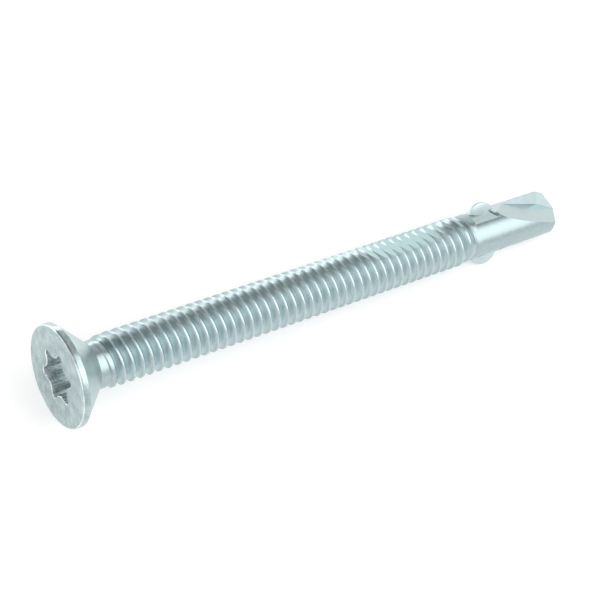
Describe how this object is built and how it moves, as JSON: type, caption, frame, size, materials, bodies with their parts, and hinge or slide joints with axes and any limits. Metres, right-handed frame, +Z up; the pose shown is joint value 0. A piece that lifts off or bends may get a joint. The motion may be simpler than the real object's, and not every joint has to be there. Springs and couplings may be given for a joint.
{
  "type": "self drilling screw",
  "caption": "Countersunk self drilling screw with a lobed drive recess, a fine rolled thread, reaming wings and a fluted drill point.",
  "frame": {"origin": "on the floor, under the middle of the lying screw's bounding box", "axes": "+X along the screw from its head toward its drill point, +Z up; the screw's own axis dips 2.9 degrees toward the point, as it lies on its head's rim"},
  "size_m": [0.065, 0.0106, 0.0106],
  "materials": {
    "zinc": "bright zinc plated steel, pale blue white, satin with bright worn edges"
  },
  "bodies": {
    "root": {"screw": "zinc"}
  },
  "joints": []
}
